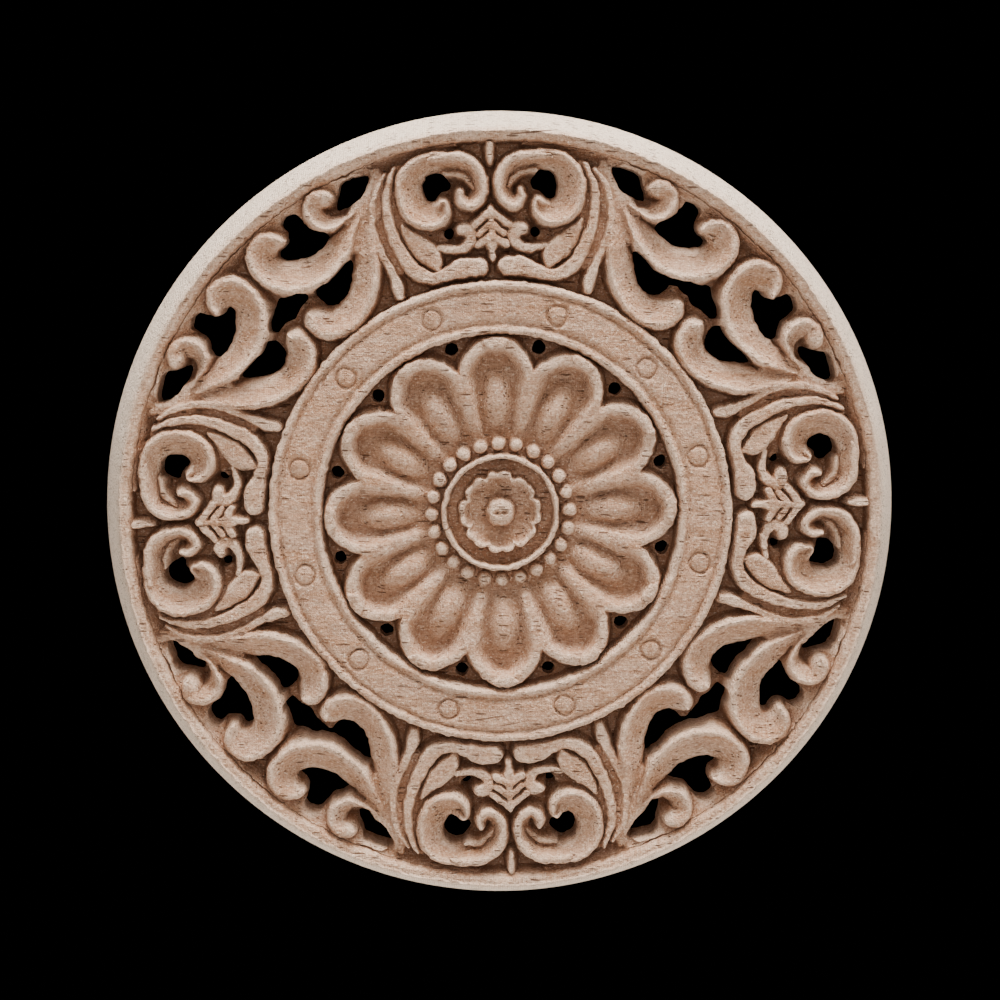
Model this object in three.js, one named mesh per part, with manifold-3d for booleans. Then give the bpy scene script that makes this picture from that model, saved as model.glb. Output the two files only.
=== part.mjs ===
// A round openwork applique, carved from one board of pale wood and glued on by its flat back.
// It is drawn lying down, x to the right, y up and z out of the carved face, and stood up at the end.
// All lengths are in millimetres.

import * as THREE from "three";
import { mergeVertices } from "three/addons/utils/BufferGeometryUtils.js";
import Module from "manifold-3d";

const wasm = await Module();
wasm.setup();

// The board
const RADIUS = 100;
const THICKNESS = 15;
const FLOOR = 4;

// The rim, the plain ring round the rosette, and the rosette's petals
const RIM_WIDTH = 8.5;
const BAND_RADIUS = 58;
const BAND_WIDTH = 13.4;
const PETAL_COUNT = 12;
const PETAL_GAP = 0.5;

// The beads, two to a petal, the thin ring and the small rosette in the middle
const BEAD_CIRCLE = 17.3;
const BEAD_RADIUS = 1.65;
const THIN_RING_RADIUS = 14.8;
const THIN_RING_WIDTH = 1.5;
const STAR_RADIUS = 10.3;
const STAR_LOBES = 8;
const BUTTON_RADIUS = 3.4;

// The sunk bed round the small rosette, as a share of the carving's depth
const BED_LEVEL = 0.5;

// Drilled holes, in the spandrels between petals and in the frames of scrolls
const SPANDREL_HOLE_RADIUS = 1.7;
const SPANDREL_HOLE_INSET = 0.7;
const FRAME_HOLE_RADIUS = 1.25;

// How far a carved wall spreads from its top edge to its foot
const WALL_SPREAD = 0.4;

// Fineness of the facets, and how far a point may move to take out the slivers that joins leave
const RIM_SEGMENTS = 72;
const BAND_SEGMENTS = 48;
const BUTTON_SEGMENTS = 12;
const MERGE_DISTANCE = 0.05;

// The frame motif stands on the four axes and the corner motif halfway between them
const TAU = 2 * Math.PI;
const QUARTER_TURN = TAU / 4;
const CORNER = QUARTER_TURN / 2;
const QUARTERS = [0, 1, 2, 3];
const SIDES = [1, -1];

// A share of the carving's depth: 0 is the floor of the pits and 1 the highest carving
const level = (share) => FLOOR + share * (THICKNESS - FLOOR);

// The rim's crest and shoulder, as shares of its width from the outer edge
const RIM_CREST_PLACE = 0.6;
const RIM_SHOULDER_PLACE = 0.9;
const RIM_SHOULDER_LEVEL = 0.92;

// Half of the plain ring's profile, as [share of its width, level]: a bead, a groove and the flat
const BAND_PROFILE = [[0.08, 1], [0.2, 0.87], [0.27, 0.94]];

// The valley between two petal tips, as a share of the tips' radius. Then rows across the petals from
// the tips inward: how far out the row lies, and its levels in the middle, the hollow and the border
const PETAL_VALLEY = 0.81;
const PETAL_ROWS = [
  { out: 1, heights: [0.92, 0.9, 0.86] },
  { out: 0.86, heights: [0.9, 0.9, 0.95] },
  { out: 0.78, heights: [0.62, 0.68, 0.95] },
  { out: 0.55, heights: [0.84, 0.62, 0.88] },
];

// Levels of the middle of the rosette, and how wide the beads and the button are at the top
const BEAD_LEVEL = 0.85;
const BEAD_CREST_SHARE = 0.6;
const THIN_RING_LEVEL = 0.9;
const STAR_LEVEL = 0.78;
const BUTTON_EDGE_LEVEL = 0.75;
const BUTTON_LEVEL = 0.87;
const BUTTON_TOP_SHARE = 0.6;

// The small rosette's edge over one lobe, as shares of its radius, and where its dish begins
const STAR_SCALLOPS = [0.84, 0.97, 0.93, 0.97];
const STAR_FOOT_SHARE = 1.05;
const STAR_EDGE_SHARE = 0.86;

// Everything that stands on the floor starts this deep inside it
const BURIED = FLOOR / 2;

// The scrollwork below is drawn for a roundel of radius 100, in the field between these two radii,
// and fitted to the real field by moving each point along its own radius.
const DRAWN_INNER = 58;
const DRAWN_OUTER = 91.5;
const RIM_INNER = RADIUS - RIM_WIDTH;
const FIELD_SCALE = (RIM_INNER - BAND_RADIUS) / (DRAWN_OUTER - DRAWN_INNER);

function fitted(x, y) {
  const drawn = Math.hypot(x, y);
  const real = BAND_RADIUS + (drawn - DRAWN_INNER) * FIELD_SCALE;
  return new THREE.Vector2((x * real) / drawn, (y * real) / drawn);
}

// A stroke is drawn by its middle line, [x, y, half width] where its shape turns. Its profile gives the
// height of its top, as [place, share of the depth], from its left edge (-1) to its right edge (1).
const flatTop = (share) => [[-1, share], [1, share]];

// The left half of the motif at the top, by its middle line x = 0
const FRAME_STROKES = [
  // the big scroll, from its end lobe round the hole and over into the curl beside the middle line
  {
    line: [
      [-11.6, 77.2, 0.9], [-13.2, 74.6, 2.8], [-16.8, 74.3, 3.4], [-19.8, 77.8, 3.4], [-20.1, 82.6, 3.2],
      [-17.0, 86.4, 2.8], [-12.0, 87.7, 2.3], [-6.8, 87.0, 2.3], [-3.3, 83.9, 2.1], [-2.9, 79.6, 1.9],
      [-5.4, 76.9, 1.8], [-7.4, 79.2, 1.0],
    ],
    profile: [[-0.75, 1], [1, -0.1]],
    endProfile: [[-0.8, 1], [1, 0.75]],
  },
  // the inner border band, which turns along the ring into a broad leaf
  {
    line: [
      [-23.6, 86.0, 0.3], [-25.6, 80.0, 0.9], [-25.5, 73.5, 1.1], [-22.8, 66.0, 1.5], [-18.5, 60.2, 1.6],
      [-12.5, 59.4, 1.4], [-7.0, 61.3, 2.3], [-2.6, 61.5, 1.9],
    ],
    profile: flatTop(0.9),
  },
  // the outer border band
  {
    line: [
      [-26.0, 84.6, 0.4], [-29.1, 77.5, 0.8], [-29.0, 69.5, 0.8], [-25.6, 61.5, 0.9], [-23.5, 55.5, 1.2],
    ],
    profile: flatTop(0.86),
  },
  // the half leaf between the scroll and the inner band
  {
    line: [[-22.1, 71.7, 0.4], [-19.0, 67.6, 1.8], [-15.3, 64.2, 2.2], [-14.2, 61.4, 0.6]],
    profile: flatTop(0.85),
  },
  // the small hook with its round end
  {
    line: [[-7.6, 70.3, 0.8], [-5.6, 70.2, 1.2], [-5.2, 67.6, 1.1], [-8.6, 65.5, 0.75], [-12.2, 65.9, 0.5]],
    profile: flatTop(0.85),
  },
];

// The palmette on the same middle line, as half an outline: a stem with three drooping leaves a side
const PALMETTE_HALF = [
  [0, 76.6], [-4.8, 72.3], [-4.0, 71.2], [-1.9, 73.0], [-3.7, 70.1], [-3.0, 69.0], [-1.4, 70.0],
  [-3.8, 67.4], [-3.1, 66.3], [-0.8, 66.8], [-0.7, 63.6],
];
const PALMETTE_LEVEL = 0.9;

// The bud between the two curls and the rim
const BUD = { line: [[0, 92.0, 0.8], [0, 90.0, 0.8], [0, 87.0, 0.3]], profile: flatTop(0.9) };

// The left half of the motif at a corner, by its middle line x = 0
const CORNER_STROKES = [
  // the big scroll round the heart-shaped hole
  {
    line: [
      [-29.5, 76.0, 0.9], [-23.0, 74.8, 2.5], [-16.0, 73.8, 3.6], [-9.5, 75.8, 4.0], [-5.2, 80.3, 4.0],
      [-4.8, 85.5, 3.7], [-8.0, 88.0, 3.4], [-11.6, 86.0, 1.2],
    ],
    profile: [[-0.85, 1], [0.2, 0.7], [1, -0.1]],
  },
  // the small curl between the two outer holes
  {
    line: [[-29.5, 77.6, 0.4], [-24.6, 79.0, 1.3], [-22.3, 82.7, 2.2], [-24.2, 86.0, 2.4], [-27.9, 84.2, 0.9]],
    profile: [[-0.9, 0.95], [1, 0.5]],
  },
  // the leaf along the ring, which curls up beside the middle line
  {
    line: [
      [-29.3, 73.5, 0.8], [-24.8, 68.7, 2.8], [-18.5, 63.4, 3.3], [-11.5, 60.9, 3.4], [-5.6, 62.5, 3.5],
      [-3.5, 65.8, 2.9], [-3.8, 68.2, 1.2],
    ],
    profile: [[-0.85, 0.97], [0.2, 0.68], [1, -0.1]],
  },
];

// Outlines of the holes that go right through, each half a motif too
const FRAME_HOLE = [
  [-13.5, 85.1], [-16.0, 84.0], [-16.9, 81.0], [-16.0, 78.5], [-14.8, 77.8], [-13.5, 78.5], [-12.5, 79.8],
  [-10.5, 80.5], [-10.0, 82.0], [-11.8, 84.7],
];
const FRAME_DRILLED_HOLE = [-10.8, 69.6];
const LENS_HOLE = [
  [-38.5, 81.3], [-35.0, 84.0], [-32.0, 84.9], [-30.0, 83.6], [-26.9, 81.5], [-30.5, 79.2], [-34.0, 78.8],
];
const HEART_HOLE = [
  [-19.3, 87.8], [-17.0, 89.3], [-15.0, 89.0], [-13.8, 86.0], [-12.0, 84.6], [-9.2, 84.6], [-8.6, 83.0],
  [-11.5, 79.8], [-15.5, 77.7], [-20.0, 77.6], [-21.0, 79.1], [-19.2, 83.0],
];
const CRESCENT_HOLE = [
  [-20.3, 70.3], [-17.5, 70.9], [-12.5, 70.8], [-8.5, 71.7], [-7.5, 70.2], [-7.8, 67.2], [-9.5, 65.2],
  [-13.0, 64.9], [-17.0, 66.8],
];
const MIDDLE_HOLE_HALF = [
  [0, 77.2], [-2.5, 75.6], [-5.4, 74.3], [-6.6, 72.6], [-5.6, 71.5], [-2.5, 71.3], [0, 70.6],
];

// The thin bridge between the crescent and the middle hole is gone in three of the eight places
const LOST_BRIDGE = [[-8.3, 71.5], [-6.2, 73.0], [-6.0, 71.7], [-7.7, 70.0]];
const LOST_BRIDGE_PLACES = [{ quarter: 3, side: 1 }, { quarter: 1, side: 1 }, { quarter: 2, side: -1 }];

// A closed solid from a geometry: seams are welded, slivers dropped and the faces turned outward
function solidFrom(geometry) {
  const bare = geometry.clone();
  bare.deleteAttribute("normal");
  bare.deleteAttribute("uv");
  const welded = mergeVertices(bare, 1e-4);
  const at = welded.attributes.position.array;
  const corners = welded.index.array;
  const triangles = [];
  let volume = 0;
  for (let i = 0; i < corners.length; i += 3) {
    const [a, b, c] = corners.slice(i, i + 3);
    if (a !== b && b !== c && c !== a) {
      triangles.push([a, b, c]);
      const [pa, pb, pc] = [a, b, c].map((k) => new THREE.Vector3().fromArray(at, 3 * k));
      volume += pa.dot(pb.cross(pc));
    }
  }
  const facing = triangles.map(([a, b, c]) => (volume < 0 ? [a, c, b] : [a, b, c]));
  const mesh = new wasm.Mesh({ numProp: 3, vertProperties: at, triVerts: new Uint32Array(facing.flat()) });
  return new wasm.Manifold(mesh);
}

// Rings of points joined each to the next, and closed by a fan at both ends
function loft(rings) {
  const size = rings[0].length;
  const centreOf = (ring) => {
    const sum = ring.reduce((total, point) => total.add(point), new THREE.Vector3());
    return sum.divideScalar(size);
  };
  const points = [...rings.flat(), centreOf(rings[0]), centreOf(rings.at(-1))];
  const firstCentre = points.length - 2;
  const lastRing = (rings.length - 1) * size;
  const index = [];
  for (let j = 0; j < size; j += 1) {
    const next = (j + 1) % size;
    for (let row = 0; row < lastRing; row += size) {
      index.push(row + j, row + next, row + size + next);
      index.push(row + j, row + size + next, row + size + j);
    }
    index.push(firstCentre, next, j);
    index.push(firstCentre + 1, lastRing + j, lastRing + next);
  }
  const geometry = new THREE.BufferGeometry().setFromPoints(points);
  return geometry.setIndex(index);
}

// A stroke of carving: its section follows the middle line, square to it, and changes from the first
// profile to the last along the way
function stroke({ line, profile, endProfile = profile }) {
  const stations = line.map((station) => new THREE.Vector3(...station));
  const curve = new THREE.CatmullRomCurve3(stations, false, "centripetal");
  const steps = line.length - 1;
  const rings = line.map(([x, y, width], i) => {
    const share = i / steps;
    const along = curve.getTangent(share);
    const left = new THREE.Vector2(-along.y, along.x).normalize();
    const section = (across, height) => {
      const point = fitted(x - left.x * across, y - left.y * across);
      return new THREE.Vector3(point.x, point.y, height);
    };
    const foot = width + WALL_SPREAD;
    const top = profile.map(([place, height], k) => {
      const [endPlace, endHeight] = endProfile[k];
      const mix = THREE.MathUtils.lerp;
      return section(mix(place, endPlace, share) * width, level(mix(height, endHeight, share)));
    });
    return [section(-foot, BURIED), ...top, section(foot, BURIED)];
  });
  return loft(rings);
}

// A round solid from its outline of radius and height; an outline that leaves the axis closes on itself
function turned(outline, segments) {
  const points = outline.map(([radius, height]) => new THREE.Vector2(radius, height));
  if (outline[0][0] > 0) {
    points.push(points[0].clone());
  }
  return new THREE.LatheGeometry(points, segments).rotateX(Math.PI / 2);
}

// A straight cut through the board, from below its back to above its highest carving
function throughCut(outline) {
  const clearance = 1;
  const depth = THICKNESS + 2 * clearance;
  const shape = new THREE.Shape(outline);
  return new THREE.ExtrudeGeometry(shape, { depth, bevelEnabled: false }).translate(0, 0, -clearance);
}

// A half outline that starts and may end on the middle line, completed on the other side
function bothSides(half) {
  const mirrored = half.map(([x, y]) => [-x, y]).reverse();
  return [...half, ...mirrored.filter(([x]) => x !== 0)];
}

function smoothHole(points, count) {
  const flat = points.map(([x, y]) => new THREE.Vector3(x, y, 0));
  const curve = new THREE.CatmullRomCurve3(flat, true, "centripetal");
  const outline = [];
  for (let i = 0; i < count; i += 1) {
    const point = curve.getPoint(i / count);
    outline.push(fitted(point.x, point.y));
  }
  return throughCut(outline);
}

function drilledHole(x, y, radius, sides = 6) {
  const outline = [];
  for (let i = 0; i < sides; i += 1) {
    const angle = ((i + 0.5) / sides) * TAU;
    outline.push(new THREE.Vector2(x + radius * Math.cos(angle), y + radius * Math.sin(angle)));
  }
  return throughCut(outline);
}

// The same geometry mirrored to the other side of its middle line and turned about the centre
function placed(geometry, side, angle) {
  return geometry.clone().scale(side, 1, 1).rotateZ(angle);
}

function aroundFour(geometry, start) {
  return QUARTERS.map((quarter) => placed(geometry, 1, start + quarter * QUARTER_TURN));
}

function aroundEight(geometry, start) {
  return SIDES.flatMap((side) => aroundFour(placed(geometry, side, 0), start));
}

function aroundMany(count, start, make) {
  return Array.from({ length: count }, (_, i) => make(start + (i * TAU) / count));
}

function palmette() {
  const shape = new THREE.Shape(bothSides(PALMETTE_HALF).map(([x, y]) => fitted(x, y)));
  const height = level(PALMETTE_LEVEL) - BURIED;
  return new THREE.ExtrudeGeometry(shape, { depth: height, bevelEnabled: false }).translate(0, 0, BURIED);
}

// The board itself, cut back to the floor of the pits
function plate() {
  return new THREE.CylinderGeometry(RADIUS - RIM_WIDTH / 2, RADIUS - RIM_WIDTH / 2, FLOOR, RIM_SEGMENTS)
    .rotateX(Math.PI / 2)
    .translate(0, 0, FLOOR / 2);
}

// The rim rounds over from the board's edge to its crest and drops steeply to the floor inside
function rim() {
  const crest = RADIUS - RIM_CREST_PLACE * RIM_WIDTH;
  const outline = [[RIM_INNER, 0]];
  const roundSteps = 3;
  for (let i = 0; i <= roundSteps; i += 1) {
    const angle = (i / roundSteps) * QUARTER_TURN;
    outline.push([crest + (RADIUS - crest) * Math.cos(angle), THICKNESS * Math.sin(angle)]);
  }
  outline.push([RADIUS - RIM_SHOULDER_PLACE * RIM_WIDTH, level(RIM_SHOULDER_LEVEL)]);
  return turned(outline, RIM_SEGMENTS);
}

// The plain ring: its half profile is mirrored about the middle of its width
function band() {
  const inner = BAND_RADIUS - BAND_WIDTH;
  const half = BAND_PROFILE.map(([place, share]) => [place * BAND_WIDTH, level(share)]);
  const outline = [
    [BAND_RADIUS + WALL_SPREAD, BURIED],
    ...half.map(([inward, height]) => [BAND_RADIUS - inward, height]),
    ...half.map(([outward, height]) => [inner + outward, height]).reverse(),
    [inner - WALL_SPREAD, BURIED],
  ];
  return turned(outline, BAND_SEGMENTS);
}

// The large rosette is one surface of rings, from the foot of the petals in to the thin ring. Across a
// petal the height falls from its border into a hollow and rises to a long boss in the middle.
function rosette() {
  const outer = BAND_RADIUS - BAND_WIDTH - PETAL_GAP;
  const inner = BEAD_CIRCLE + BEAD_RADIUS;
  const acrossSteps = 4;
  const count = PETAL_COUNT * acrossSteps;
  const tipRadius = (across) => {
    const rise = Math.sqrt(Math.cos(across * QUARTER_TURN));
    return outer * (PETAL_VALLEY + (1 - PETAL_VALLEY) * rise);
  };
  const outline = Array.from({ length: count }, (_, i) => {
    const fromMiddle = Math.abs(((i + acrossSteps / 2) % acrossSteps) - acrossSteps / 2);
    return { fromMiddle, radius: tipRadius((2 * fromMiddle) / acrossSteps) };
  });
  const ringAt = (radiusAt, heightAt) => outline.map((place, i) => {
    const angle = (i / count) * TAU;
    const radius = radiusAt(place, i);
    return new THREE.Vector3(-radius * Math.sin(angle), radius * Math.cos(angle), heightAt(place, i));
  });
  const petalRow = ({ out, heights }) => ringAt(
    ({ radius }) => inner + out * (radius - inner),
    ({ fromMiddle }) => level(heights[fromMiddle]),
  );
  const roundRow = (radius, share) => ringAt(() => radius, () => level(share));
  const beadRow = (radius) => ringAt(() => radius, (_, i) => level(i % 2 ? BED_LEVEL : BEAD_LEVEL));
  const beadHalf = BEAD_CREST_SHARE * BEAD_RADIUS;
  const ringInner = THIN_RING_RADIUS - THIN_RING_WIDTH;
  return loft([
    ringAt(({ radius }) => radius + WALL_SPREAD, () => BURIED),
    ...PETAL_ROWS.map(petalRow),
    roundRow(inner, BED_LEVEL),
    beadRow(BEAD_CIRCLE + beadHalf),
    beadRow(BEAD_CIRCLE - beadHalf),
    roundRow(THIN_RING_RADIUS + WALL_SPREAD, BED_LEVEL),
    roundRow(THIN_RING_RADIUS, THIN_RING_LEVEL),
    roundRow(ringInner, THIN_RING_LEVEL),
    roundRow(ringInner - WALL_SPREAD, BED_LEVEL),
  ]);
}

// The small rosette: eight lobes of two scallops each, dished round the button
function star() {
  const perLobe = STAR_SCALLOPS.length;
  const count = perLobe * STAR_LOBES;
  const rowAt = (share, height, edge) => Array.from({ length: count }, (_, i) => {
    const angle = ((i - perLobe / 2) / count) * TAU;
    const radius = STAR_RADIUS * share * edge[i % perLobe];
    return new THREE.Vector3(-radius * Math.sin(angle), radius * Math.cos(angle), height);
  });
  const round = STAR_SCALLOPS.map(() => 1);
  return loft([
    rowAt(STAR_FOOT_SHARE, BURIED, STAR_SCALLOPS),
    rowAt(1, level(STAR_LEVEL), STAR_SCALLOPS),
    rowAt(STAR_EDGE_SHARE, level(STAR_LEVEL), STAR_SCALLOPS),
    rowAt(BUTTON_RADIUS / STAR_RADIUS, level(BED_LEVEL), round),
  ]);
}

function button() {
  const outline = [
    [0, BURIED],
    [BUTTON_RADIUS, BURIED],
    [BUTTON_RADIUS, level(BUTTON_EDGE_LEVEL)],
    [BUTTON_TOP_SHARE * BUTTON_RADIUS, level(BUTTON_LEVEL)],
    [0, level(BUTTON_LEVEL)],
  ];
  return turned(outline, BUTTON_SEGMENTS);
}

function carving() {
  return [
    rim(),
    band(),
    rosette(),
    star(),
    button(),
    ...FRAME_STROKES.flatMap((drawn) => aroundEight(stroke(drawn), 0)),
    ...aroundFour(palmette(), 0),
    ...aroundFour(stroke(BUD), 0),
    ...CORNER_STROKES.flatMap((drawn) => aroundEight(stroke(drawn), CORNER)),
  ];
}

function openings() {
  const frameHole = fitted(...FRAME_DRILLED_HOLE);
  const spandrel = BAND_RADIUS - BAND_WIDTH - SPANDREL_HOLE_INSET - SPANDREL_HOLE_RADIUS;
  const spandrelHole = drilledHole(0, spandrel, SPANDREL_HOLE_RADIUS);
  const lostBridge = throughCut(LOST_BRIDGE.map(([x, y]) => fitted(x, y)));
  const bridgeAt = ({ quarter, side }) => placed(lostBridge, side, CORNER + quarter * QUARTER_TURN);
  return [
    ...aroundEight(smoothHole(FRAME_HOLE, 9), 0),
    ...aroundEight(drilledHole(frameHole.x, frameHole.y, FRAME_HOLE_RADIUS), 0),
    ...aroundEight(smoothHole(LENS_HOLE, 8), CORNER),
    ...aroundEight(smoothHole(HEART_HOLE, 11), CORNER),
    ...aroundEight(smoothHole(CRESCENT_HOLE, 9), CORNER),
    ...aroundFour(smoothHole(bothSides(MIDDLE_HOLE_HALF), 12), CORNER),
    ...LOST_BRIDGE_PLACES.map(bridgeAt),
    ...aroundMany(PETAL_COUNT, TAU / PETAL_COUNT / 2, (angle) => placed(spandrelHole, 1, angle)),
  ];
}

function roundel() {
  const whole = carving().reduce((body, geometry) => body.add(solidFrom(geometry)), solidFrom(plate()));
  const pierced = openings().reduce((body, geometry) => body.subtract(solidFrom(geometry)), whole);
  const { vertProperties, triVerts } = pierced.asOriginal().simplify(MERGE_DISTANCE).getMesh();
  const geometry = new THREE.BufferGeometry();
  geometry.setAttribute("position", new THREE.BufferAttribute(vertProperties, 3));
  geometry.setIndex(new THREE.BufferAttribute(triVerts, 1));
  geometry.computeVertexNormals();
  return geometry;
}

const rawWood = new THREE.MeshStandardMaterial({ color: 0xc9a488, roughness: 0.85, metalness: 0 });
const carvedRoundel = new THREE.Mesh(roundel(), rawWood);
carvedRoundel.name = "carved_roundel";

// Stood up: the carved face looks along -y, and the flat back lies in the plane y = 0
carvedRoundel.rotation.x = Math.PI / 2;

const group = new THREE.Group();
group.add(carvedRoundel);

export default group;
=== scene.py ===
# %% [markdown]
# A round openwork applique, carved from one board of raw rubberwood. The real thing is a flat blank that
# is cut from above: rings first, then petals, then scrolls, and last the holes that go right through.
# Everything on its front can be seen from straight ahead, so its whole front is one height field: for each
# place on the disc, one height above the flat back. That is worked out here with numpy and made a mesh.

# %% The frame, and the tools
import math

import bpy
import numpy as np
from mathutils import Matrix, Vector
from mathutils.geometry import delaunay_2d_cdt


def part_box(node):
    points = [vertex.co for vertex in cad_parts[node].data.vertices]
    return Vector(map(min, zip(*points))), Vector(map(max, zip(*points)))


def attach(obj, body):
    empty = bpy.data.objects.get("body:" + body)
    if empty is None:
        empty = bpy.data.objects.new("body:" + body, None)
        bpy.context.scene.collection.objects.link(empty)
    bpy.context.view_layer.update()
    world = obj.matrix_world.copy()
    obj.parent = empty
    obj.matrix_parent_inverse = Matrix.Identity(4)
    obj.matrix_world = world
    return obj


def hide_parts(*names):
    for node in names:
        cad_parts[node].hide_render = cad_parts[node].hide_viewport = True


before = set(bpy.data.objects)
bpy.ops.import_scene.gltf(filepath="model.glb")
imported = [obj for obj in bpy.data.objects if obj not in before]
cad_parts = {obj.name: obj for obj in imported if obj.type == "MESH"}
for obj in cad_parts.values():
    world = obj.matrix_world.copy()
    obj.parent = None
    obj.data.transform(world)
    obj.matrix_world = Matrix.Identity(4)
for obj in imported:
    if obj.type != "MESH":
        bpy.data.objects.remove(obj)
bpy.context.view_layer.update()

# %% [markdown]
# The drawing below is in drawn millimetres: the disc has a radius of 100, x runs right, y runs up and the
# height runs out of the wood towards the viewer. The frame says how large a drawn millimetre really is.

# %% Sizes from the frame
NODE = "carved_roundel"
low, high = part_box(NODE)
DRAWN_RADIUS = 100.0
MM = (high.x - low.x) / 2 / DRAWN_RADIUS
THICKNESS = (high.y - low.y) / MM
FLOOR = 6.0
BACK_Y = high.y
print("one drawn millimetre is", round(MM, 6), "m; the board is", round(THICKNESS, 2), "thick")


def level(share):
    """Height of a share of the carving's depth: 0 is the floor of the pits and 1 the highest carving."""
    return FLOOR + share * (THICKNESS - FLOOR)


# %% [markdown]
# A real edge is never a perfect corner: the knife leaves it a little round. Two heights are joined here by a
# soft minimum or maximum, which follows the lower or the higher one and rounds the place where they cross.

# %% Rounded joins
def soft_low(a, b, rounding):
    """The lower of two heights, rounded where they cross: -k log(exp(-a/k) + exp(-b/k))."""
    return -rounding * np.logaddexp(-a / rounding, -b / rounding)


def soft_high(a, b, rounding):
    """The higher of two heights, rounded where they cross: k log(exp(a/k) + exp(b/k))."""
    return rounding * np.logaddexp(a / rounding, b / rounding)


# %% [markdown]
# Scrolls are drawn as a carver draws them: a middle line with a width that swells and tapers. A few stations
# are enough, and a smooth curve runs through them.

# %% Smooth curves
def smooth_curve(stations, closed=False, steps=10):
    """Points on a smooth curve through the stations. Each span is a cubic whose ends have the slope of the
    parabola through three neighbouring stations, with the square root of their distance as time."""
    knots = np.asarray(stations, float)
    if closed:
        knots = np.vstack([knots[-1:], knots, knots[:2]])
    else:
        knots = np.vstack([2 * knots[0] - knots[1], knots, 2 * knots[-1] - knots[-2]])
    gap = np.sqrt(np.linalg.norm(np.diff(knots[:, :2], axis=0), axis=1))[:, None]
    rate = np.diff(knots, axis=0) / gap
    slope = (rate[1:] * gap[:-1] + rate[:-1] * gap[1:]) / (gap[1:] + gap[:-1])
    start, end, width = knots[1:-2], knots[2:-1], gap[1:-1]
    t = np.linspace(0, 1, steps, endpoint=False)[None, :, None]
    start, end, width = start[:, None], end[:, None], width[:, None]
    leave, arrive = slope[:-1, None] * width, slope[1:, None] * width
    curve = (
        start * (2 * t**3 - 3 * t**2 + 1)
        + end * (3 * t**2 - 2 * t**3)
        + leave * (t**3 - 2 * t**2 + t)
        + arrive * (t**3 - t**2)
    )
    curve = curve.reshape(-1, knots.shape[1])
    return curve if closed else np.vstack([curve, knots[-2:-1]])


# %% [markdown]
# A stroke needs to know, for every point near it, how far the point is from the middle line and on which
# side. That is the usual distance to a line segment, taken for all points and all segments at once.

# %% Where a point lies beside a line
def beside(points, line):
    """For each point, its distance from the line, the side (1 left, -1 right), the line's half width there
    and the share of the way along. The nearest piece is the one that the point is deepest inside."""
    start, end = line[:-1], line[1:]
    step = end[:, :2] - start[:, :2]
    offset = points[:, None] - start[None, :, :2]
    share = np.clip((offset * step).sum(2) / (step**2).sum(1), 0, 1)
    distance = np.linalg.norm(offset - share[..., None] * step, axis=2)
    width = start[:, 2] + share * (end[:, 2] - start[:, 2])
    rows = np.arange(len(points))
    pick = np.argmin(distance - width, axis=1)
    near = offset[rows, pick]
    side = np.sign(step[pick, 0] * near[:, 1] - step[pick, 1] * near[:, 0])
    return distance[rows, pick], side, width[rows, pick], (pick + share[rows, pick]) / len(start)


# %% [markdown]
# Across a stroke the surface follows a section: seven levels from its outer edge to its inner edge. Some
# strokes are flat bands, some are dished leaves with a raised outer edge that sink towards a hole, and round
# lobes end them. Beyond its edge each stroke has a steep carved wall.

# %% Sections, from the outer edge of a stroke to its inner edge
ACROSS = np.array([-1, -0.75, -0.4, 0, 0.4, 0.75, 1])
FLAT = (0.86, 0.9, 0.9, 0.9, 0.9, 0.9, 0.86)
DISH = (0.86, 0.98, 0.88, 0.73, 0.62, 0.52, 0.36)
SOFT = (0.8, 0.94, 0.93, 0.84, 0.76, 0.68, 0.5)
BOWL = (0.86, 0.98, 0.84, 0.7, 0.84, 0.98, 0.86)
LOBE = (0.74, 0.92, 1.0, 0.98, 0.93, 0.85, 0.66)
CREST = (0.82, 0.98, 1.0, 0.9, 0.68, 0.52, 0.44)
ROOT = (0.66, 0.74, 0.74, 0.7, 0.65, 0.58, 0.46)
RAMP = (0.74, 0.68, 0.54, 0.4, 0.27, 0.16, 0.06)
WALL_SLOPE = 7.0
EDGE_ROUNDING = 0.3
THINNEST = 0.1


def lowered(section, share):
    """The same section, lower by a share of the carving's depth."""
    return tuple(place - share for place in section)


def section_height(across, along, sections):
    """Height on a set of sections: along the stroke they blend in a straight line, and across it the seven
    levels are joined by a cubic with the slopes of their neighbours."""
    table = np.array(sections, float)
    if len(table) > 1:
        place = along * (len(table) - 1)
        first = np.minimum(place.astype(int), len(table) - 2)
        part = (place - first)[:, None]
        levels = table[first] * (1 - part) + table[first + 1] * part
    else:
        levels = np.repeat(table, len(across), axis=0)
    slopes = np.gradient(levels, ACROSS, axis=1)
    k = np.clip(np.searchsorted(ACROSS, across, side="right") - 1, 0, len(ACROSS) - 2)
    rows = np.arange(len(across))
    gap = ACROSS[k + 1] - ACROSS[k]
    t = (across - ACROSS[k]) / gap
    return level(
        levels[rows, k] * (2 * t**3 - 3 * t**2 + 1)
        + levels[rows, k + 1] * (3 * t**2 - 2 * t**3)
        + slopes[rows, k] * gap * (t**3 - 2 * t**2 + t)
        + slopes[rows, k + 1] * gap * (t**3 - t**2)
    )


def stroke_height(points, stations, outer, sections, wall=WALL_SLOPE):
    """Height of one stroke over all points: the section's height inside, and outside it a wall that falls
    by so many millimetres for each one away. outer is the side of the high edge, 1 left and -1 right."""
    line = smooth_curve(stations)
    height = np.full(len(points), -THICKNESS)
    reach = line[:, 2].max() + THICKNESS / wall
    near = np.all((points > line[:, :2].min(0) - reach) & (points < line[:, :2].max(0) + reach), axis=1)
    distance, side, width, along = beside(points[near], line)
    across = np.clip(-outer * side * distance / np.maximum(width, THINNEST), -1, 1)
    top = section_height(across, along, sections)
    edge = section_height(np.sign(across), along, sections)
    height[near] = soft_low(top, edge + (width - distance) * wall, EDGE_ROUNDING)
    return height


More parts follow.
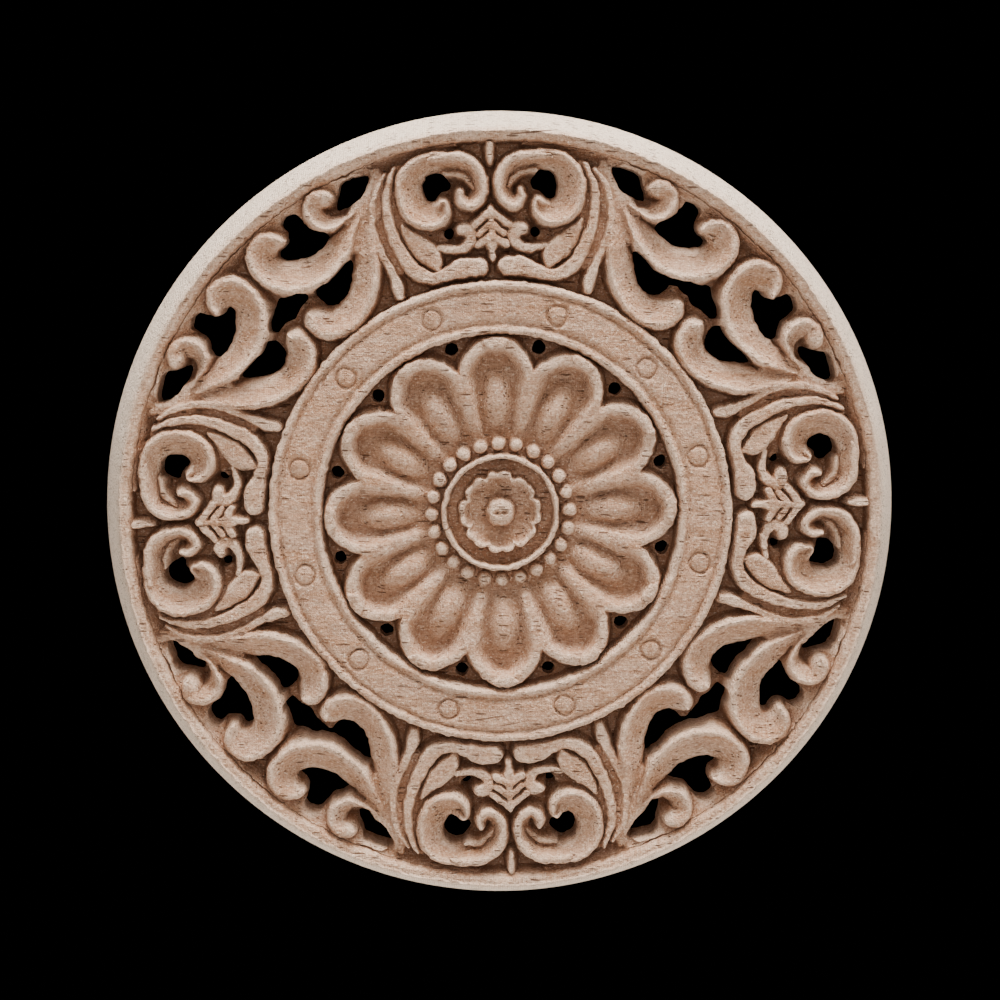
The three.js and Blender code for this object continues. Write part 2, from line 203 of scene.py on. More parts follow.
# %% [markdown]
# The scrollwork repeats eight times: four frames stand on the axes and four corners between them, and each
# is its own mirror image. So only one eighth of the disc is worked out. Both drawings are the left half of
# a motif that stands at the top, by its middle line x = 0. Each station is x, y and half width.

# %% The frame motif
LEFT, RIGHT = 1, -1
FRAME = {
    "scroll": (RIGHT, [DISH, DISH, DISH, DISH, BOWL], [
        (-8.7, 87.4, 2.2), (-13.3, 87.5, 2.4), (-17.6, 86.0, 2.8), (-20.1, 82.6, 3.2), (-20.1, 78.6, 3.3),
        (-18.3, 75.3, 3.5), (-15.4, 74.0, 3.2), (-12.9, 74.8, 2.6), (-11.7, 76.8, 1.2),
    ]),
    "curl": (LEFT, [CREST, CREST, CREST, LOBE], [
        (-14.5, 87.6, 1.2), (-10.8, 87.6, 2.1), (-7.3, 87.2, 2.3), (-4.2, 85.3, 2.2), (-2.8, 82.0, 2.0),
        (-3.2, 78.8, 1.9), (-5.4, 76.9, 1.8), (-7.2, 78.2, 1.4), (-7.3, 80.0, 0.8),
    ]),
    "inner ridge": (LEFT, [lowered(FLAT, 0.25)], [
        (-11.3, 84.7, 0.5), (-7.6, 84.3, 0.6), (-5.5, 82.7, 0.6), (-4.3, 80.9, 0.3),
    ]),
    "inner band": (RIGHT, [FLAT], [
        (-23.6, 86.0, 0.3), (-25.5, 81.0, 0.8), (-25.8, 76.0, 1.0), (-24.8, 71.0, 1.2), (-22.6, 65.6, 1.5),
        (-19.4, 60.9, 1.6), (-15.0, 58.9, 1.3), (-11.0, 59.9, 1.5), (-7.0, 61.3, 2.3), (-3.6, 61.5, 2.1),
    ]),
    "outer band": (RIGHT, [lowered(FLAT, 0.04)], [
        (-26.0, 84.6, 0.3), (-28.6, 80.0, 0.7), (-29.5, 75.0, 0.8), (-29.2, 70.3, 0.8), (-27.5, 65.5, 0.8),
        (-25.2, 60.8, 0.9), (-23.8, 57.3, 1.3), (-23.4, 54.8, 0.9),
    ]),
    "half leaf": (RIGHT, [lowered(FLAT, 0.05)], [
        (-22.1, 72.0, 0.4), (-20.0, 68.8, 1.5), (-17.2, 66.0, 2.5), (-14.8, 63.6, 2.1), (-13.7, 60.9, 0.5),
    ]),
    "hook": (LEFT, [FLAT, lowered(FLAT, 0.1)], [
        (-7.6, 70.5, 1.1), (-6.0, 70.2, 1.5), (-5.2, 68.6, 1.3), (-6.2, 66.8, 1.1), (-8.8, 65.6, 0.85),
        (-13.3, 66.2, 0.6),
    ]),
    "upper leaf": (LEFT, [FLAT], [(0, 75.0, 0.85), (-4.4, 71.5, 0.8)]),
    "middle leaf": (LEFT, [FLAT], [(0, 72.2, 0.8), (-3.3, 69.4, 0.75)]),
    "lower leaf": (LEFT, [FLAT], [(0, 69.0, 1.1), (-3.5, 67.0, 0.75)]),
    "stem": (LEFT, [FLAT], [(0, 75.6, 0.6), (0, 70.0, 0.9), (0, 67.6, 1.4), (0, 65.6, 0.7), (0, 63.6, 0.6)]),
    "bud": (LEFT, [FLAT], [(0, 91.6, 0.7), (0, 90.0, 0.8), (0, 87.0, 0.3)]),
    "web under the rim": (LEFT, [RAMP], [
        (-34.0, 83.6, 1.6), (-28.0, 86.4, 2.2), (-22.0, 88.2, 1.8), (-16.0, 89.8, 1.2), (-9.0, 90.8, 0.8),
    ]),
    "web between the bands": (RIGHT, [lowered(FLAT, 0.34)], [
        (-25.4, 84.0, 0.8), (-27.4, 76.0, 1.4), (-26.4, 68.0, 1.6), (-23.2, 61.5, 1.4),
    ]),
    "web outside the scroll": (RIGHT, [lowered(FLAT, 0.36)], [
        (-22.5, 86.0, 1.0), (-24.0, 80.0, 1.4), (-23.3, 74.0, 1.4), (-21.0, 70.0, 1.4),
    ]),
    "web under the scroll": (RIGHT, [lowered(FLAT, 0.4), lowered(FLAT, 0.55), lowered(FLAT, 0.85)], [
        (-20.6, 70.8, 1.2), (-16.4, 69.4, 1.9), (-12.9, 68.4, 1.9),
    ]),
}
print(len(FRAME), "strokes in half a frame")

# %% [markdown]
# The corner motif is drawn in the same way, as if it stood at the top. In half of it a scroll, a curl and a
# leaf grow from one root beside the frame, and low webs hold them together and leave the holes between.

# %% The corner motif
CORNER = {
    "scroll": (RIGHT, [ROOT, DISH, DISH, DISH, SOFT, LOBE], [
        (-29.5, 76.0, 0.9), (-25.0, 75.2, 2.0), (-20.0, 74.1, 3.2), (-15.0, 73.9, 3.7), (-10.3, 75.4, 4.0),
        (-6.4, 78.6, 4.0), (-4.6, 82.6, 3.8), (-5.4, 86.6, 3.6), (-8.3, 87.9, 3.3), (-10.8, 86.9, 1.8),
        (-11.9, 85.4, 0.8),
    ]),
    "curl": (RIGHT, [ROOT, DISH, SOFT, LOBE, LOBE], [
        (-29.5, 77.6, 0.4), (-25.6, 78.6, 0.9), (-23.0, 80.4, 1.8), (-22.3, 83.3, 2.3), (-23.7, 85.8, 2.4),
        (-26.0, 86.0, 2.5), (-27.3, 85.2, 2.0), (-28.0, 84.3, 1.0),
    ]),
    "leaf": (RIGHT, [ROOT, SOFT, DISH, DISH, SOFT, LOBE], [
        (-29.3, 73.5, 0.8), (-26.3, 70.3, 2.2), (-22.5, 66.4, 3.2), (-18.0, 63.1, 3.3), (-13.0, 61.2, 3.3),
        (-8.6, 61.0, 3.5), (-5.0, 63.0, 3.5), (-3.5, 65.8, 2.9), (-3.7, 67.6, 1.3),
    ]),
    "web at the root": (RIGHT, [lowered(FLAT, 0.26)], [
        (-41.0, 80.5, 0.8), (-37.5, 77.5, 2.0), (-33.5, 75.5, 2.8), (-29.5, 73.8, 2.9), (-24.0, 71.3, 1.7),
    ]),
    "web under the rim": (LEFT, [RAMP], [
        (-36.0, 82.4, 1.6), (-28.0, 85.6, 2.2), (-20.0, 88.0, 2.2), (-12.0, 89.5, 2.0), (-6.0, 90.3, 1.5),
        (0, 90.8, 1.2),
    ]),
    "web beside the lens": (RIGHT, [lowered(FLAT, 0.3)], [
        (-40.5, 83.0, 0.6), (-38.5, 79.0, 1.2), (-31.0, 77.3, 1.7), (-26.8, 76.9, 1.3),
    ]),
}
print(len(CORNER), "strokes in half a corner")

# %% [markdown]
# Holes are outlines, and each is turned into a signed distance: how far a place is from the outline,
# negative inside it. Distances are easy to combine, because the nearest hole has the smallest one.

# %% The holes of the scrollwork
FRAME_HOLES = {
    "eye": [
        (-13.5, 85.1), (-16.0, 84.0), (-16.9, 81.0), (-16.0, 78.5), (-14.8, 77.8), (-13.5, 78.5),
        (-12.5, 79.8), (-10.5, 80.5), (-10.0, 82.0), (-11.8, 84.7),
    ],
}
FRAME_DRILLED = (-10.8, 69.6, 1.25)
CORNER_HOLES = {
    "lens": [(-38.5, 81.3), (-35, 84), (-32, 84.9), (-30, 83.6), (-26.9, 81.5), (-30.5, 79.2), (-34, 78.8)],
    "heart": [
        (-19.3, 87.8), (-17, 89.3), (-15, 89), (-13.8, 86), (-12, 84.6), (-9.2, 84.6), (-8.6, 83),
        (-11.5, 79.8), (-15.5, 77.7), (-20, 77.6), (-21, 79.1), (-19.2, 83),
    ],
    "crescent": [
        (-20.3, 70.3), (-17.5, 70.9), (-12.5, 70.8), (-8.5, 71.7), (-7.5, 70.2), (-7.8, 67.2),
        (-9.5, 65.2), (-13, 64.9), (-17, 66.8),
    ],
    "middle": [
        (0, 77.2), (-2.5, 75.6), (-5.4, 74.3), (-6.6, 72.6), (-5.6, 71.5), (-2.5, 71.3), (0, 70.6),
        (2.5, 71.3), (5.6, 71.5), (6.6, 72.6), (5.4, 74.3), (2.5, 75.6),
    ],
}


def outline_distance(points, outline):
    """Signed distance from a closed outline: the nearest of its edges, negative where a ray to the right
    crosses the outline an odd number of times."""
    start, end = outline, np.roll(outline, -1, axis=0)
    step = end - start
    offset = points[:, None] - start
    share = np.clip((offset * step).sum(2) / (step**2).sum(1), 0, 1)
    distance = np.linalg.norm(offset - share[..., None] * step, axis=2).min(1)
    above = start[:, 1] > points[:, 1:2]
    crosses = above != (end[:, 1] > points[:, 1:2])
    with np.errstate(divide="ignore", invalid="ignore"):
        meeting = start[:, 0] + (points[:, 1:2] - start[:, 1]) / step[:, 1] * step[:, 0]
    inside = (crosses & (points[:, :1] < meeting)).sum(1) % 2 == 1
    return np.where(inside, -distance, distance)


# %% [markdown]
# One eighth of the field is a fan from the frame's middle line to the corner's. The same places are seen
# twice: from the frame, and turned by 45 degrees from the corner.

# %% One eighth of the field
COLUMNS = 2304
EIGHTH = COLUMNS // 8
UNION_ROUNDING = 0.22
FLOOR_ROUNDING = 0.5
THIN_EDGE = 2.2
THIN_EDGE_RISE = 1.1


def field_eighth(radii):
    """Heights and hole distances on the fan of radii by angles from 0 to 45 degrees."""
    angle = np.linspace(0, math.pi / 4, EIGHTH + 1)
    r, a = np.meshgrid(radii, angle, indexing="ij")
    by_frame = np.stack([-r * np.sin(a), r * np.cos(a)], axis=-1).reshape(-1, 2)
    turned = math.pi / 4 - a
    by_corner = np.stack([-r * np.sin(turned), r * np.cos(turned)], axis=-1).reshape(-1, 2)
    hole = np.linalg.norm(by_frame - np.array(FRAME_DRILLED[:2]), axis=1) - FRAME_DRILLED[2]
    for points, holes in ((by_frame, FRAME_HOLES), (by_corner, CORNER_HOLES)):
        for stations in holes.values():
            outline = smooth_curve(stations, closed=True, steps=6)
            hole = np.minimum(hole, outline_distance(points, outline))
    height = np.minimum(FLOOR, THIN_EDGE + THIN_EDGE_RISE * np.maximum(hole, 0))
    for points, strokes in ((by_frame, FRAME), (by_corner, CORNER)):
        carving = np.full(len(points), -THICKNESS)
        for outer, sections, stations in strokes.values():
            stroke = stroke_height(points, stations, outer, sections)
            carving = soft_high(carving, stroke, UNION_ROUNDING)
        height = soft_high(height, carving, FLOOR_ROUNDING)
    return height.reshape(r.shape), hole.reshape(r.shape)


# %% [markdown]
# The rim and the plain ring look the same all the way round, so their height depends on the radius alone.
# Twelve shallow circles are cut into the plain ring.

# %% The rim and the plain ring
RIM_CREST = 94.8
RIM_FOOT = 91.5
RIM_BULGE = 1.2
RIM_PROFILE = [
    (RIM_FOOT, 3.4), (91.9, 9.0), (92.3, 12.4), (92.7, 13.8), (93.2, 14.4), (93.8, 14.55), (94.3, 14.5),
    (94.6, 14.75), (RIM_CREST, 15.0),
]
BAND_INNER, BAND_OUTER = 44.2, 58.5
BAND_PROFILE = [
    (BAND_INNER, 3.0), (44.7, 12.8), (45.1, 14.2), (45.7, 14.8), (46.4, 14.5), (47.0, 13.8), (47.3, 13.6),
    (47.7, 13.9), (48.4, 14.3), (54.5, 14.3), (55.0, 13.9), (55.4, 13.6), (55.8, 14.0), (56.3, 14.6),
    (56.9, 14.8), (57.5, 14.4), (57.9, 13.4), (BAND_OUTER, 3.0),
]
PEG_ANGLES = np.radians([17.7, 46.7, 75.5, 105.7, 134.2, 163.4])
PEG_CIRCLE, PEG_RADIUS, PEG_GROOVE, PEG_DEPTH = 51.2, 2.5, 0.42, 0.8
PETALS = 12


def ring_height(r):
    """Height by radius. The outer slope is a quarter of a squashed circle, s to the power p plus h to the
    power p is 1, which is nearly a straight bevel when p is little more than 1. Inside are the profiles."""
    out_share = np.clip((r - RIM_CREST) / (DRAWN_RADIUS - RIM_CREST), 0, 1)
    rim = THICKNESS * (1 - out_share**RIM_BULGE) ** (1 / RIM_BULGE)
    rim = np.where(r < RIM_CREST, np.interp(r, *zip(*RIM_PROFILE), left=-THICKNESS), rim)
    band = np.interp(r, *zip(*BAND_PROFILE), left=-THICKNESS, right=-THICKNESS)
    return np.maximum(rim, band)


def folded(angle, count, phase=0.0):
    """Angle from the nearest of so many equal directions, the first of them at the phase."""
    turn = math.tau / count
    return (angle - phase + turn / 2) % turn - turn / 2


def peg_grooves(r, angle):
    """Depth of the circles in the plain ring, six on each side: a bell-shaped groove at one distance from
    each centre."""
    depth = np.zeros_like(r)
    for peg in PEG_ANGLES:
        a = np.abs(folded(angle, 1)) - peg
        away = np.hypot(r * np.cos(a) - PEG_CIRCLE, r * np.sin(a))
        depth += PEG_DEPTH * np.exp(-(((away - PEG_RADIUS) / PEG_GROOVE) ** 2))
    return depth


# %% [markdown]
# Twelve petals stand round the beads. Each has a rounded border, a hollow inside it and a long boss along its
# middle. A small lens-shaped lip lies on its tip, and deep pits beside the tips are drilled through.

# %% The petals
PETAL_TIP = [
    (0, 44.2), (2.0, 43.9), (4.0, 43.0), (5.6, 41.7), (6.9, 40.1), (7.9, 38.5), (8.7, 36.8), (9.4, 35.0),
]
SPANDREL_HOLE = (42.2, 1.7)
BORDER_TOP = [(19.5, 9.6), (22, 11.4), (26, 12.7), (33, 13.6), (38, 14.1), (44, 14.0)]
HOLLOW = [(19.5, 8.3), (21, 8.5), (25, 9.2), (31, 9.5), (35, 9.2), (38, 8.9)]
BORDER_FLAT = [(20, 0.4), (26, 0.7), (33, 1.1), (38, 1.5), (41, 2.1)]
BORDER_FALL = [(20, 1.8), (26, 2.5), (33, 3.4), (38, 3.0)]
CORNER_ROUNDING = 0.5
BOSS_CENTRE, BOSS_LONG, BOSS_WIDE = 28.7, 6.7, 3.5
BOSS_TOP, BOSS_DROP, BOSS_ROUNDING = 12.8, 2.6, 0.3
LIP_EDGE, LIP_CURVE, LIP_RISE, LIP_SLOPE = 40.3, 0.25, 0.8, 0.5
PETAL_EDGE, PETAL_WALL, PETAL_ROUNDING = 13.6, WALL_SLOPE * 0.8, 0.45
BELOW_PETALS = [(11.0, 32.0), (11.0, 10.0), (0.0, 10.0)]


def by_radius(r, stations):
    """A value that changes with the radius in straight lines from station to station."""
    return np.interp(r, *zip(*stations))


def petal_height(r, angle):
    """Height of the petals. From a petal's edge inwards the border stays flat and then falls smoothly to the
    hollow, and the boss is a dome that drops with the square of the distance from its middle. A steep wall
    lies beyond the outline."""
    a = folded(angle, PETALS)
    side, out = np.abs(r * np.sin(a)), r * np.cos(a)
    tip = np.array(PETAL_TIP + BELOW_PETALS)
    outline = np.vstack([tip, tip[-2:0:-1] * [-1, 1]])
    within = -outline_distance(np.stack([side.ravel(), out.ravel()], 1), outline).reshape(r.shape)
    from_neighbour = out * math.sin(math.pi / PETALS) - side * math.cos(math.pi / PETALS)
    inwards = soft_low(within, from_neighbour, CORNER_ROUNDING)
    fall = np.clip((inwards - by_radius(r, BORDER_FLAT)) / by_radius(r, BORDER_FALL), 0, 1)
    top = by_radius(r, BORDER_TOP)
    height = top - (top - by_radius(r, HOLLOW)) * fall * fall * (3 - 2 * fall)
    oval = ((out - BOSS_CENTRE) / BOSS_LONG) ** 2 + (side / BOSS_WIDE) ** 2
    height = soft_high(height, BOSS_TOP - BOSS_DROP * oval, BOSS_ROUNDING)
    lip = np.clip((out - LIP_EDGE - LIP_CURVE * side**2) / LIP_SLOPE, 0, 1)
    return soft_low(height + LIP_RISE * lip, PETAL_EDGE + PETAL_WALL * within, PETAL_ROUNDING)


# %% [markdown]
# Inside the petals come a ring of beads, a thin ring, a small rosette with a scalloped edge and a button.

# %% The middle
BEADS, BEAD_CIRCLE, BEAD_RADIUS, BEAD_FOOT, BEAD_WEAR = 24, 17.2, 1.62, 11.3, 0.7
THIN_RING = [(13.2, 9.0), (13.5, 12.5), (13.8, 13.2), (14.3, 13.2), (14.6, 12.6), (14.95, 9.0)]
BED = 8.4
STAR_LOBES = 8
STAR_DISH = [(3.6, 8.5), (5.0, 8.7), (7.4, 9.2), (8.5, 10.1), (9.1, 12.0), (9.5, 12.6)]
STAR_RADIUS, STAR_TOP, STAR_ROUNDING = 10.1, 12.7, 0.3
LOBE_DENT, LOBE_DENT_WIDTH = 0.4, 0.18
SEAM_DENT, SEAM_DENT_WIDTH = 1.1, 0.22
FLUTE_DEPTH, FLUTE_START, FLUTE_FADE = 0.5, 4.5, 4
BUTTON_END = 3.9
BUTTON = [(0, 13.2), (1.6, 13.1), (2.6, 12.7), (3.1, 12.0), (3.4, 11.0), (BUTTON_END, 8.8)]
SLOT_DEPTH, SLOT_LONG, SLOT_WIDE = 1.2, 1.6, 0.45


def middle_height(r, angle):
    """Height inside the petals: beads are half balls, more worn at the bottom, the thin ring is a profile by
    radius, and the small rosette is a dish with a raised edge. Dents in that edge, at the middle of each lobe
    and at the seams, have a depth and a width. The button is a low dome with a short slot."""
    a = folded(angle, BEADS)
    away = np.hypot(r * np.cos(a) - BEAD_CIRCLE, r * np.sin(a))
    ball = np.sqrt(np.maximum(BEAD_RADIUS**2 - away**2, 0))
    foot = BEAD_FOOT - BEAD_WEAR * (1 - np.cos(angle)) / 2
    bead = foot + ball - WALL_SLOPE * np.maximum(away - BEAD_RADIUS, 0)
    ring = np.interp(r, *zip(*THIN_RING), left=-THICKNESS, right=-THICKNESS)
    lobe = np.abs(folded(angle, STAR_LOBES)) / (math.pi / STAR_LOBES)
    at_lobe = LOBE_DENT * np.exp(-((lobe / LOBE_DENT_WIDTH) ** 2))
    at_seam = SEAM_DENT * np.exp(-(((lobe - 1) / SEAM_DENT_WIDTH) ** 2))
    dented = r + (at_lobe + at_seam)
    flute = FLUTE_DEPTH * np.cos(math.tau * lobe) * np.clip((r - FLUTE_START) / FLUTE_FADE, 0, 1)
    star_wall = STAR_TOP - WALL_SLOPE * (dented - STAR_RADIUS)
    star = soft_low(by_radius(dented, STAR_DISH) - flute, star_wall, STAR_ROUNDING)
    slot = np.exp(-((r * np.sin(angle) / SLOT_LONG) ** 4) - ((r * np.cos(angle) / SLOT_WIDE) ** 2))
    height = np.maximum.reduce([bead, ring, star, np.full_like(r, BED)])
    return np.where(r < BUTTON_END, by_radius(r, BUTTON) - SLOT_DEPTH * slot, height)


# %% [markdown]
# Hand work is never quite even. A little smooth noise in height, and a little sideways, keeps the eight
# copies of the scrollwork from being exactly alike, and leaves their edges slightly ragged.

# %% Noise
NOISE_START, NOISE_SPAN = 1.1 * DRAWN_RADIUS, 2.4 * DRAWN_RADIUS


def smooth_noise(x, y, cell, seed):
    """Random values on a square lattice, from -1 to 1, joined smoothly: each place blends the four corners
    of its cell with weights t*t*(3 - 2t)."""
    size = int(NOISE_SPAN / cell) + 2
    lattice = np.random.default_rng(seed).uniform(-1, 1, (size, size))
    u, v = (x + NOISE_START) / cell, (y + NOISE_START) / cell
    i, j = u.astype(int), v.astype(int)
    s, t = u - i, v - j
    s, t = s * s * (3 - 2 * s), t * t * (3 - 2 * t)
    return (
        lattice[i, j] * (1 - s) * (1 - t)
        + lattice[i + 1, j] * s * (1 - t)
        + lattice[i, j + 1] * (1 - s) * t
        + lattice[i + 1, j + 1] * s * t
    )


def layered_noise(x, y, layers):
    """Sum of noises, each given as its amount, its cell and its seed."""
    return sum(amount * smooth_noise(x, y, cell, seed) for amount, cell, seed in layers)


# %% [markdown]
# The grid has rows of equal radius. Near the middle its columns would crowd together, so at three places a
# row has only a half or a third of the points of the one outside it. Rows lie closest where the surface
# turns.

# %% The rows of the grid
ROUNDING_ROWS = 16
OUTER_ROWS = [
    (RIM_CREST, 92.3, 0.2), (92.3, RIM_FOOT, 0.1), (RIM_FOOT, BAND_OUTER, 0.25), (BAND_OUTER, 57.5, 0.12),
    (57.5, 54.4, 0.25), (54.4, 48.4, 0.3), (48.4, 45.1, 0.25), (45.1, BAND_INNER, 0.12),
]
PETALS_END, BEADS_END, GRID_END = 19.6, 8.0, 0.6


def rows_over(stretches):
    """Radii from each stretch's start towards its end, about so far apart, without the end itself."""
    rows = []
    for start, end, step in stretches:
        steps = max(1, int(round(abs(end - start) / step)))
        rows += list(np.linspace(start, end, steps, endpoint=False))
    return rows


rim_angles = np.linspace(0, math.pi / 2, ROUNDING_ROWS, endpoint=False)
rim_rows = list(RIM_CREST + (DRAWN_RADIUS - RIM_CREST) * np.cos(rim_angles) ** (2 / RIM_BULGE))
blocks = [
    (rim_rows + rows_over(OUTER_ROWS), COLUMNS),
    (rows_over([(BAND_INNER, PETALS_END, 0.25)]), COLUMNS // 2),
    (rows_over([(PETALS_END, BEADS_END, 0.22)]), COLUMNS // 4),
    (rows_over([(BEADS_END, GRID_END, 0.2)]), COLUMNS // 12),
]
print(sum(len(rows) * columns for rows, columns in blocks), "points in the grid")

# %% [markdown]
# In three of the eight places the thin bridge of wood between the crescent and the middle hole has broken
# away. There a short slot joins the two holes.

# %% Lost bridges
LOST_BRIDGE = ((-8.2, 71.2), (-6.1, 72.4), 0.9)
LOST_PLACES = [(3, 1), (1, 1), (2, -1)]
FAR_AWAY = 99.0


def lost_bridges(x, y):
    """Signed distance to the slots: the distance from each short line minus its half width."""
    distance = np.full(x.shape, FAR_AWAY)
    (ax, ay), (bx, by), half = LOST_BRIDGE
    for quarter, side in LOST_PLACES:
        turn = -math.pi / 4 - quarter * math.pi / 2
        u = (x * math.cos(turn) - y * math.sin(turn)) * side
        v = x * math.sin(turn) + y * math.cos(turn)
        along = (u - ax) * (bx - ax) + (v - ay) * (by - ay)
        share = np.clip(along / ((bx - ax) ** 2 + (by - ay) ** 2), 0, 1)
        gap = np.hypot(u - ax - share * (bx - ax), v - ay - share * (by - ay)) - half
        distance = np.minimum(distance, gap)
    return distance


# %% [markdown]
# Now everything comes together, one block of rows at a time. The scrollwork's eighth is copied round the
# disc, every second copy turned over like a page, and each block adds the rings that cross it.

# %% Heights and holes over the whole disc
FIELD_INNER, FIELD_OUTER = BAND_OUTER - 0.6, RIM_FOOT + 0.7
FIELD_ROUNDING = 0.25
SPANDREL_FLOOR = FLOOR - 1.0
PETALS_START = 17.3


def block_surface(rows, columns):
    """x, y, height and hole distance on one block of the grid, rows by columns."""
    angle = np.arange(columns) * math.tau / columns
    r, a = np.meshgrid(np.array(rows), angle, indexing="ij")
    x, y = -r * np.sin(a), r * np.cos(a)
    height = ring_height(r)
    away = folded(a, PETALS, math.pi / PETALS)
    hole = np.hypot(r * np.cos(away) - SPANDREL_HOLE[0], r * np.sin(away)) - SPANDREL_HOLE[1]
    if columns == COLUMNS:
        in_field = (r[:, 0] > FIELD_INNER) & (r[:, 0] < FIELD_OUTER)
        eighth, eighth_hole = field_eighth(r[in_field, 0])
        column = np.arange(columns)
        within = column % EIGHTH
        pick = np.where(column // EIGHTH % 2 == 0, within, EIGHTH - within)
        height[in_field] = soft_high(height[in_field], eighth[:, pick], FIELD_ROUNDING)
        hole[in_field] = np.minimum(eighth_hole[:, pick], lost_bridges(x, y)[in_field])
        height -= peg_grooves(r, a)
    elif columns == COLUMNS // 2:
        height = np.maximum(height, petal_height(r, a))
        height = soft_high(height, np.full_like(r, SPANDREL_FLOOR), FLOOR_ROUNDING)
    else:
        height = middle_height(r, a)
        if columns == COLUMNS // 4:
            petals = petal_height(r, a)
            height = np.where(r > PETALS_START, np.maximum(height, petals), height)
    return x, y, height, hole


surfaces = [block_surface(rows, columns) for rows, columns in blocks]
x, y, height, hole = (np.concatenate([s[k].ravel() for s in surfaces]) for k in range(4))
radius_drawn = np.hypot(x, y)
print("heights from", round(height.min(), 2), "to", round(height.max(), 2))

# %% [markdown]
# The unevenness is added here. It fades out at the rim's outer edge, which stays a true circle.

# %% Unevenness
STILL_EDGE, FADE = 98.5, 4
UP_AND_DOWN = [(0.18, 6.0, 1), (0.16, 1.7, 2)]
SIDEWAYS_X = [(0.16, 5.0, 4), (0.22, 1.2, 5)]
SIDEWAYS_Y = [(0.16, 5.0, 6), (0.22, 1.2, 7)]
inner_part = np.clip((STILL_EDGE - radius_drawn) / FADE, 0, 1)
height = np.clip(height + inner_part * layered_noise(x, y, UP_AND_DOWN), 0.0, THICKNESS)
sway_x = inner_part * layered_noise(x, y, SIDEWAYS_X)
sway_y = inner_part * layered_noise(x, y, SIDEWAYS_Y)
x, y = x + sway_x, y + sway_y
print("farthest sideways", round(float(np.abs(sway_x).max()), 2))

# %% [markdown]
# The points become a surface: triangles join each row to the next one, and a fan closes the middle.


# %% Triangles between rows
def strip_triangles(outer_start, outer_count, inner_start, inner_count):
    """Triangles between two closed rows. Where the inner row has fewer points, each of its points joins
    as many outer ones as their counts' ratio."""
    ratio = outer_count // inner_count
    k = np.arange(outer_count)
    after = (k + 1) % outer_count
    mine, next_one = (k + ratio // 2) // ratio % inner_count, (after + ratio // 2) // ratio % inner_count
    faces = [np.stack([outer_start + k, outer_start + after, inner_start + mine], 1)]
    moved = mine != next_one
    faces.append(np.stack([outer_start + after, inner_start + next_one, inner_start + mine], 1)[moved])
    return np.concatenate(faces)


row_counts = [columns for rows, columns in blocks for _ in rows]
row_starts = np.concatenate([[0], np.cumsum(row_counts)])
triangles = np.concatenate([
    strip_triangles(row_starts[i], row_counts[i], row_starts[i + 1], row_counts[i + 1])
    for i in range(len(row_counts) - 1)
])
last = np.arange(row_counts[-1])
x, y = np.append(x, 0.0), np.append(y, 0.0)
height, hole = np.append(height, height[row_starts[-2]:].mean()), np.append(hole, FAR_AWAY)
following = (last + 1) % row_counts[-1]
middle = np.full_like(last, len(x) - 1)
fan = np.stack([row_starts[-2] + last, row_starts[-2] + following, middle], 1)
triangles = np.concatenate([triangles, fan])
print(len(triangles), "triangles before the holes are cut")


# %% [markdown]
# The holes are cut out of the triangles exactly along their outlines. A triangle with one corner inside a
# hole keeps a four-sided rest, and one with two corners inside keeps a small tip.

# %% Cutting the holes
def cut_triangles(points, distance, faces):
    """Keeps the part of each face where the distance is positive. A new point on a cut edge lies where the
    distance, taken as straight along the edge, is zero, and neighbours share it."""
    outside = distance > 0
    inside_count = (~outside[faces]).sum(1)
    whole = faces[inside_count == 0]
    cut = faces[(inside_count == 1) | (inside_count == 2)]
    lone_inside = (~outside[cut]).sum(1) == 1
    lone = np.where(lone_inside[:, None], ~outside[cut], outside[cut]).argmax(1)
    rows = np.arange(len(cut))
    a, b, c = cut[rows, lone], cut[rows, (lone + 1) % 3], cut[rows, (lone + 2) % 3]
    edges = np.concatenate([np.stack([a, b], 1), np.stack([a, c], 1)])
    ordered = np.sort(edges, axis=1)
    unique, where = np.unique(ordered, axis=0, return_inverse=True)
    where = where.reshape(-1)
    d0, d1 = distance[unique[:, 0]], distance[unique[:, 1]]
    share = (d0 / (d0 - d1))[:, None]
    made = points[unique[:, 0]] * (1 - share) + points[unique[:, 1]] * share
    ab, ac = where[: len(cut)] + len(points), where[len(cut):] + len(points)
    tip = np.stack([a, ab, ac], 1)[~lone_inside]
    rest = np.concatenate([np.stack([ab, b, c], 1)[lone_inside], np.stack([ab, c, ac], 1)[lone_inside]])
    return np.vstack([points, made]), np.concatenate([whole, tip, rest])


front = np.stack([x, y, height], 1)
SNAP = 0.02
hole = np.where(np.abs(hole) < SNAP, SNAP, hole)
front, triangles = cut_triangles(front, hole, triangles)
used, triangles = np.unique(triangles, return_inverse=True)
front, triangles = front[used], triangles.reshape(-1, 3)
print(len(triangles), "triangles after")


# %% [markdown]
# Every open edge of the front, round the rim and round each hole, gets a wall down to the back. The back
# itself is flat, and is filled between the same edges by a triangulation.

# %% Walls and back
def open_edges(faces):
    """Edges that only one face uses, in that face's direction."""
    edges = np.concatenate([faces[:, [0, 1]], faces[:, [1, 2]], faces[:, [2, 0]]])
    size = faces.max() + 1
    forward = edges[:, 0].astype(np.int64) * size + edges[:, 1]
    backward = edges[:, 1].astype(np.int64) * size + edges[:, 0]
    return edges[~np.isin(forward, backward)]


